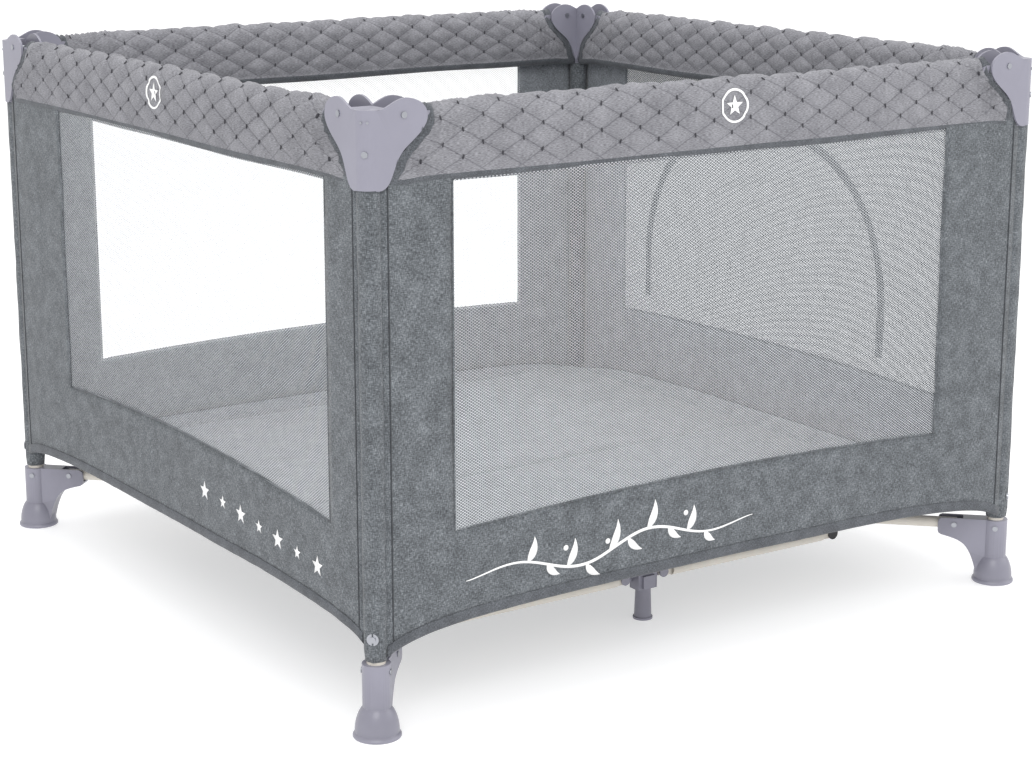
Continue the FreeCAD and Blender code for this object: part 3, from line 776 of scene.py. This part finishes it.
def leg_sleeve(corner, signs):
    """Cloth tube round a leg, with a sewn ridge on each side where the walls join it."""
    centre = Vector((signs[0] * HALF, signs[1] * HALF, 0))
    heights = steps((SLEEVE_LOW, SLEEVE_HIGH), 0.012)
    sides = 40
    seed = 3.0 * signs[0] + 5.0 * signs[1]
    lean = 0.85 * signs[0] * signs[1]
    ridges = [math.atan2(signs[1], 0.0) - lean, math.atan2(0.0, signs[0]) + lean]

    def radius(turn, z):
        r = SLEEVE + 0.0007 * noise.noise(Vector((math.cos(turn) * 2, z * 22, seed)))
        r += 0.0005 * noise.noise(Vector((math.sin(turn) * 5, z * 60, seed)))
        for ridge in ridges:
            apart = math.atan2(math.sin(turn - ridge), math.cos(turn - ridge))
            r += 0.0013 * math.exp(-((apart / 0.09) ** 2))
        r -= 0.0012 * math.exp(-((z - SLEEVE_LOW) / 0.004) ** 2)
        return r

    def point(i, j):
        turn = 2 * math.pi * j / sides
        r = radius(turn, heights[i])
        return centre + Vector((r * math.cos(turn), r * math.sin(turn), heights[i]))

    piece = grid(
        f"leg_sleeve_{corner}", len(heights), sides, point, [WALL_CLOTH], ring=True,
        uv=lambda i, j: (2 * math.pi * SLEEVE * j / sides, heights[i]),
    )
    flip(piece)
    thicken(piece, 0.0008)
    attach(piece, f"leg_{corner}")


NET_ALLOWANCE = 0.008      # cloth turned under at the edges of a net, both sides together
for corner, signs in CORNERS.items():
    leg_sleeve(corner, signs)
for side in SIDES:
    border, border_area = wall_frame(side)
    window, window_area = wall_net(side)
    window_seam(side)
    hem_band(side)
    leg_seams(side)
    height = WALL_TOP - hem(side, WALL_START)
    left, right, low_end, low_mid = side.window
    tall = WINDOW_TOP - min(low_end, low_mid) + NET_ALLOWANCE


# ---------------------------------------------------------------- prints on the walls
def print_piece(name, side, shapes):
    """Flat printed shapes, each a strip of pairs of points on the wall."""
    points, faces = [], []
    for strip in shapes:
        base = len(points)
        for a, b in strip:
            points += [wall_point(side, *a, 0.0010), wall_point(side, *b, 0.0010)]
        for k in range(len(strip) - 1):
            faces.append((base + 2 * k, base + 2 * k + 1, base + 2 * k + 3, base + 2 * k + 2))
    piece = mesh_piece(name, points, faces, [(p.x + p.y, p.z) for p in points], [INK])
    thicken(piece, 0.0004)
    side.fold(piece)


def brush(path, widths):
    """A stroke along a path with a width at each point."""
    strip = []
    for k, (s, z) in enumerate(path):
        before, after = path[max(0, k - 1)], path[min(len(path) - 1, k + 1)]
        ds, dz = after[0] - before[0], after[1] - before[1]
        size = math.hypot(ds, dz) or 1.0
        w = widths[k] / 2
        strip.append(((s - dz / size * w, z + ds / size * w), (s + dz / size * w, z - ds / size * w)))
    return strip


def swash(start, end, waves, height, width, count=90):
    """A long wavy stroke, fine at both ends."""
    path, widths = [], []
    for k in range(count + 1):
        t = k / count
        s = start[0] + (end[0] - start[0]) * t
        wave = math.sin(2 * math.pi * waves * t) * math.sin(math.pi * t) ** 0.6
        path.append((s, start[1] + (end[1] - start[1]) * t + height * wave))
        widths.append(0.0008 + width * math.sin(math.pi * t) ** 0.7)
    return path, widths


def leaf(root, angle, length, width, count=14):
    """A pointed leaf that curls a little."""
    path, widths = [], []
    for k in range(count + 1):
        t = k / count
        bend = angle + 0.5 * t
        path.append((root[0] + length * t * math.cos(bend), root[1] + length * t * math.sin(bend)))
        widths.append(max(0.0003, width * math.sin(math.pi * t ** 0.8)))
    return brush(path, widths)


SPRIG = {"start": (0.112, 0.167), "end": (0.536, 0.174), "waves": 2.0, "height": 0.014, "width": 0.0030}
LEAVES = (0.20, 0.27, 0.34, 0.41, 0.48, 0.55, 0.62, 0.69, 0.76, 0.83)   # shares of the stem's length
BERRY = 0.0035             # radius of a printed dot
stem, stem_widths = swash(SPRIG["start"], SPRIG["end"], SPRIG["waves"], SPRIG["height"], SPRIG["width"])
sprig = [brush(stem, stem_widths)]
for number, t in enumerate(LEAVES):
    root = stem[int(t * (len(stem) - 1))]
    size = 0.040 - 0.030 * abs(t - 0.5)
    if number % 2 == 0:
        sprig.append(leaf(root, 0.75, size, 0.0105))
    else:
        sprig.append(leaf(root, -1.2, size * 0.72, 0.0090))
for t, rise in ((0.305, 0.020), (0.445, 0.018), (0.725, 0.018)):
    root = stem[int(t * (len(stem) - 1))]
    centre = (root[0] + 0.012, root[1] + rise)
    turns = [2 * math.pi * k / 12 for k in range(13)]
    berry = [(centre[0] + BERRY * math.cos(turn), centre[1] + BERRY * math.sin(turn)) for turn in turns]
    sprig.append([(p, centre) for p in berry])
print_piece("sprig_print", SIDES[0], sprig)

stars = []
for number in range(7):
    s = 0.105 + 0.0475 * number
    z = 0.176 + 0.0035 * number
    size = (0.0125, 0.0085)[number % 2]
    outline = [(s + x, z + y) for x, y in star_outline(size)]
    stars.append([(p, (s, z)) for p in outline + outline[:1]])
print_piece("star_print", SIDES[1], stars)


# ---------------------------------------------------------------- zip door in the right wall
DOOR_TAPE = 0.013          # width
DOOR_COIL = 0.0019         # radius


def door_path():
    """Inverted U of the door's zip, from its lower near end over the top."""
    near, far, low, high, bend = 0.255, 0.800, 0.262, 0.560, 0.220
    path = [(near, z) for z in steps((low, high - bend), 0.02)]
    turns = 12
    for k in range(1, turns + 1):
        a = math.pi / 2 * k / turns
        path.append((near + bend - bend * math.cos(a), high - bend + bend * math.sin(a)))
    path += [(s, high) for s in steps((near + bend, far - bend), 0.02)[1:]]
    for k in range(1, turns + 1):
        a = math.pi / 2 * k / turns
        path.append((far - bend + bend * math.sin(a), high - bend + bend * math.cos(a)))
    path += [(far, z) for z in steps((high - bend, low), 0.02)[1:]]
    return path


def door(side):
    path = door_path()
    strip = brush(path, [DOOR_TAPE] * len(path))
    points, faces = [], []
    for a, b in strip:
        points += [wall_point(side, *a, 0.0012), wall_point(side, *b, 0.0012)]
    for k in range(len(strip) - 1):
        faces.append((2 * k, 2 * k + 1, 2 * k + 3, 2 * k + 2))
    flat = [(p.x + p.y, p.z) for p in points]
    tape = mesh_piece(f"door_tape_{side.name}", points, faces, flat, [WALL_CLOTH])
    thicken(tape, 0.0010)
    side.fold(tape)
    coil_path = [wall_point(side, s, z, 0.0028) for s, z in path]
    coil = tube(f"door_zip_{side.name}", coil_path, DOOR_COIL, RUBBER)
    side.fold(coil)


door(SIDES[2])


# ---------------------------------------------------------------- floor
def pad(name, low, high, grid_pitch, channels, body, material, puff, node):
    """A flat stitched pad: crowned between its sewn lines, thin at its edges."""
    xs = steps(tuple(low[0] + (high[0] - low[0]) * k / channels for k in range(channels + 1)), grid_pitch)
    ys = steps((low[1], high[1]), grid_pitch)
    centre_z = (low[2] + high[2]) / 2
    half = (high[2] - low[2]) / 2
    panel = (high[0] - low[0]) / channels

    def thickness(x, y):
        t = (x - low[0]) / panel
        seam = abs(t - round(t)) * panel
        edge = min(x - low[0], high[0] - x, y - low[1], high[1] - y)
        crown = (1 - math.exp(-((seam / 0.011) ** 2))) if 0.02 < t < channels - 0.02 else 1.0
        return half * (0.22 + 0.78 * crown * smoothstep(edge, -0.001, 0.012))

    points, faces, uvs = [], [], []
    columns, rows = len(xs), len(ys)
    for face in (1, -1):
        for x in xs:
            for y in ys:
                wave = puff * noise.noise(Vector((x * 11, y * 11, face))) if face > 0 else 0.0
                points.append(Vector((x, y, centre_z + face * thickness(x, y) + wave)))
                uvs.append((x, y))
    for layer in (0, 1):
        base = layer * columns * rows
        for i in range(columns - 1):
            for j in range(rows - 1):
                near, far = base + i * rows + j, base + (i + 1) * rows + j
                quad = (near, far, far + 1, near + 1)
                faces.append(quad if layer == 0 else quad[::-1])
    other = columns * rows
    rim = [i * rows for i in range(columns)] + [(columns - 1) * rows + j for j in range(1, rows)]
    rim += [i * rows + rows - 1 for i in range(columns - 2, -1, -1)] + list(range(rows - 2, 0, -1))
    for a, b in zip(rim, rim[1:] + rim[:1]):
        faces.append((b, a, a + other, b + other))
    piece = mesh_piece(name, points, faces, uvs, [material])
    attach(piece, body)
    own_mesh(piece)
    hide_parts(node)
    return piece


for end in ("front", "back"):
    low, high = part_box(f"floor_mat_{end}")
    mat = pad(f"mat_{end}", low, high, 0.009, 2, f"floor_{end}", MAT_CLOTH, 0.0005, f"floor_mat_{end}")
    low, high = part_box(f"floor_cloth_{end}")
    base = pad(
        f"base_cloth_{end}", low, high, 0.02, 1, f"floor_{end}", FLOOR_CLOTH, 0.0, f"floor_cloth_{end}"
    )


# ---------------------------------------------------------------- floor, light and camera
def stage_floor():
    reach = 14.0
    s = Shader("studio_floor", 0.55)
    tone = s.noise(s.place(), 1.5, 2)
    colour = s.ramp(tone, ((0.3, (0.60, 0.60, 0.605, 1)), (0.7, (0.63, 0.63, 0.635, 1))))
    s.finish(colour)
    s.surface.inputs["Emission Color"].default_value = (1, 1, 1, 1)
    s.surface.inputs["Emission Strength"].default_value = 0.50
    corners = [(-reach, -reach, 0), (reach, -reach, 0), (reach, reach, 0), (-reach, reach, 0)]
    floor = mesh_piece("studio_floor", corners, [(0, 1, 2, 3)], None, [s.material])


def lamp(name, place, target, size, power):
    light = bpy.data.lights.new(name, "AREA")
    light.shape = "SQUARE"
    light.size = size
    light.energy = power
    holder = bpy.data.objects.new(name, light)
    holder.location = place
    holder.rotation_euler = (Vector(target) - Vector(place)).to_track_quat("-Z", "Y").to_euler()
    bpy.context.scene.collection.objects.link(holder)


def studio():
    world = bpy.data.worlds.new("studio")
    world.use_nodes = True
    background = world.node_tree.nodes["Background"]
    background.inputs["Color"].default_value = (1.0, 1.0, 1.0, 1.0)
    background.inputs["Strength"].default_value = 0.95
    bpy.context.scene.world = world
    lamp("key", (-2.6, -3.4, 3.4), (0, 0, 0.3), 2.6, 90)
    lamp("fill", (3.6, -2.6, 2.4), (0, 0, 0.3), 3.0, 45)
    lamp("top", (0.0, 0.6, 4.2), (0, 0, 0.2), 3.2, 60)
    bpy.context.scene.view_settings.view_transform = "Standard"
    bpy.context.scene.view_settings.look = "None"


def camera():
    eye = Vector((-1.747, -2.624, 1.022)) * SPAN
    yaw, pitch = math.radians(34.16), math.radians(13.77)
    look = Vector((math.sin(yaw) * math.cos(pitch), math.cos(yaw) * math.cos(pitch), -math.sin(pitch)))
    data = bpy.data.cameras.new("camera")
    data.sensor_width = 36.0
    data.lens = 79.1
    holder = bpy.data.objects.new("camera", data)
    holder.location = eye
    holder.rotation_euler = look.to_track_quat("-Z", "Y").to_euler()
    bpy.context.scene.collection.objects.link(holder)
    bpy.context.scene.camera = holder


stage_floor()
studio()
camera()
